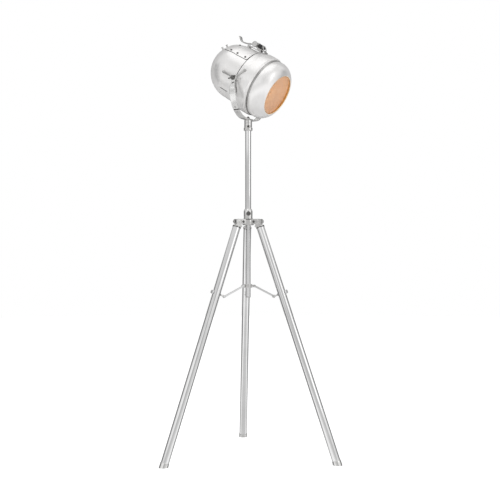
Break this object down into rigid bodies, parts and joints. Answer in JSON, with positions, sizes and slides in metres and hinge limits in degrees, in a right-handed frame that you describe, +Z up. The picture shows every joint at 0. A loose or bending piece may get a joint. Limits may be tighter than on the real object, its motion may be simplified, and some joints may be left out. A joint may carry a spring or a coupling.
{
  "type": "tripod floor lamp",
  "caption": "Floor lamp: a searchlight-shaped nickel head tilts in a U-shaped yoke on a sliding column, above a tripod of round tube legs that fold together.",
  "frame": {"origin": "middle of the lamp's bounding box, on the floor; the column's axis stands 96.6 mm from it towards -Y", "axes": "+Z up along the column; one leg points to +Y and the other two to either side of -Y; the head points between +X and -Y"},
  "size_m": [0.7036, 0.6138, 1.7003],
  "materials": {
    "tube_chrome": "polished round tube",
    "cast_nickel": "polished nickel on castings and strap",
    "dark_nickel": "darkened nickel, satin",
    "fastener_steel": "plain turned steel",
    "shell_nickel": "spun shell, polished nickel plate",
    "reflector_metal": "spun reflector, warm satin",
    "black_rubber": "matt black",
    "porcelain": "glazed white",
    "bulb_glass": "frosted"
  },
  "bodies": {
    "stand": {"hub_casting": "cast_nickel", "hinge_pin_1": "cast_nickel", "hinge_pin_2": "cast_nickel", "hinge_pin_3": "cast_nickel"},
    "leg_1": {"leg_fitting_1": "cast_nickel", "leg_tube_1": "tube_chrome", "foot_1": "cast_nickel", "strut_eye_1": "cast_nickel", "strut_knob_1": "tube_chrome"},
    "leg_2": {"leg_fitting_2": "cast_nickel", "leg_tube_2": "tube_chrome", "foot_2": "cast_nickel", "strut_eye_2": "cast_nickel", "strut_knob_2": "tube_chrome"},
    "leg_3": {"leg_fitting_3": "cast_nickel", "leg_tube_3": "tube_chrome", "foot_3": "cast_nickel", "strut_eye_3": "cast_nickel", "strut_knob_3": "tube_chrome"},
    "spreader": {"spreader_ring": "cast_nickel", "strut_pin_1": "cast_nickel", "strut_pin_2": "cast_nickel", "strut_pin_3": "cast_nickel"},
    "strut_arm_1": {"strut_1": "tube_chrome"},
    "strut_arm_2": {"strut_2": "tube_chrome"},
    "strut_arm_3": {"strut_3": "tube_chrome"},
    "column_clamp": {"column_clamp_screw": "dark_nickel"},
    "column": {"column_tube": "tube_chrome", "column_guide_tube": "tube_chrome", "column_end_cap": "cast_nickel", "stem_collar": "cast_nickel", "yoke_nut": "dark_nickel"},
    "stem_screw": {"stem_wing_screw": "dark_nickel"},
    "yoke": {"yoke_base": "cast_nickel", "yoke_arm_near": "cast_nickel", "yoke_arm_far": "cast_nickel"},
    "near_knob": {"tilt_knob_near": "dark_nickel"},
    "far_knob": {"tilt_knob_far": "dark_nickel"},
    "head": {"rear_housing": "shell_nickel", "hatch_cover": "shell_nickel", "hatch_screw_1": "fastener_steel", "hatch_screw_2": "fastener_steel", "hatch_screw_3": "fastener_steel", "hatch_screw_4": "fastener_steel", "hatch_stud_1": "fastener_steel", "hatch_stud_2": "fastener_steel", "cable_gland": "black_rubber", "clamp_ring": "shell_nickel", "hood": "shell_nickel", "reflector": "reflector_metal", "lamp_holder": "porcelain", "bulb": "bulb_glass", "trunnion_bracket_near": "fastener_steel", "trunnion_bracket_far": "fastener_steel", "latch_base": "fastener_steel", "latch_roller": "black_rubber", "latch_catch": "fastener_steel"},
    "latch": {"latch_lever": "shell_nickel", "latch_drum": "shell_nickel"},
    "link": {"latch_link": "shell_nickel"}
  },
  "joints": [
    {"name": "leg_1_fold", "type": "hinge", "parent": "stand", "child": "leg_1", "pos_m": [0, -0.04949, 0.943], "axis": [-1, 0, 0], "range_deg": [0, 16]},
    {"name": "leg_2_fold", "type": "hinge", "parent": "stand", "child": "leg_2", "pos_m": [-0.04079, -0.12014, 0.943], "axis": [0.5, -0.866, 0], "range_deg": [0, 16]},
    {"name": "leg_3_fold", "type": "hinge", "parent": "stand", "child": "leg_3", "pos_m": [0.04079, -0.12014, 0.943], "axis": [0.5, 0.866, 0], "range_deg": [0, 16]},
    {"name": "spreader_slide", "type": "slide", "parent": "stand", "child": "spreader", "axis": [0, 0, 1], "range_m": [0, 0.04978]},
    {"name": "strut_1_swing", "type": "hinge", "parent": "spreader", "child": "strut_arm_1", "pos_m": [0, -0.07059, 0.684], "axis": [-1, 0, 0], "range_deg": [0, 63.79]},
    {"name": "strut_2_swing", "type": "hinge", "parent": "spreader", "child": "strut_arm_2", "pos_m": [-0.02252, -0.10959, 0.684], "axis": [0.5, -0.866, 0], "range_deg": [0, 63.79]},
    {"name": "strut_3_swing", "type": "hinge", "parent": "spreader", "child": "strut_arm_3", "pos_m": [0.02252, -0.10959, 0.684], "axis": [0.5, 0.866, 0], "range_deg": [0, 63.79]},
    {"name": "column_slide", "type": "slide", "parent": "stand", "child": "column", "axis": [0, 0, 1], "range_m": [-0.2, 0.03]},
    {"name": "column_clamp_turn", "type": "hinge", "parent": "stand", "child": "column_clamp", "pos_m": [0, -0.11489, 0.976], "axis": [0, -1, 0], "range_deg": [0, 180]},
    {"name": "stem_screw_turn", "type": "hinge", "parent": "column", "child": "stem_screw", "pos_m": [0, -0.11269, 1.329], "axis": [0, -1, 0], "range_deg": [0, 180]},
    {"name": "yoke_pan", "type": "hinge", "parent": "column", "child": "yoke", "pos_m": [0, -0.09659, 1.358], "axis": [0, 0, 1], "range_deg": [-170, 170]},
    {"name": "head_tilt", "type": "hinge", "parent": "yoke", "child": "head", "pos_m": [0, -0.09659, 1.505], "axis": [0.497, 0.8678, 0], "range_deg": [-60, 8]},
    {"name": "tilt_knob_near_turn", "type": "hinge", "parent": "yoke", "child": "near_knob", "pos_m": [-0.06637, -0.21248, 1.505], "axis": [-0.497, -0.8678, 0], "range_deg": [0, 180]},
    {"name": "tilt_knob_far_turn", "type": "hinge", "parent": "yoke", "child": "far_knob", "pos_m": [0.06637, 0.0193, 1.505], "axis": [0.497, 0.8678, 0], "range_deg": [0, 180]},
    {"name": "latch_open", "type": "hinge", "parent": "head", "child": "latch", "pos_m": [0.05316, -0.12704, 1.64583], "axis": [0.497, 0.8678, 0], "range_deg": [0, 100]},
    {"name": "latch_link_swing", "type": "hinge", "parent": "latch", "child": "link", "pos_m": [0.03291, -0.11544, 1.65747], "axis": [0.497, 0.8678, 0], "range_deg": [-111, 0]}
  ],
  "couplings": [
    {"joint": "leg_2_fold", "follows": "leg_1_fold", "ratio": 1},
    {"joint": "leg_3_fold", "follows": "leg_1_fold", "ratio": 1},
    {"joint": "spreader_slide", "follows": "leg_1_fold", "m_per_rad": 0.17827},
    {"joint": "strut_1_swing", "follows": "leg_1_fold", "ratio": 3.9869},
    {"joint": "strut_2_swing", "follows": "leg_1_fold", "ratio": 3.9869},
    {"joint": "strut_3_swing", "follows": "leg_1_fold", "ratio": 3.9869},
    {"joint": "latch_link_swing", "follows": "latch_open", "ratio": -1.11}
  ]
}
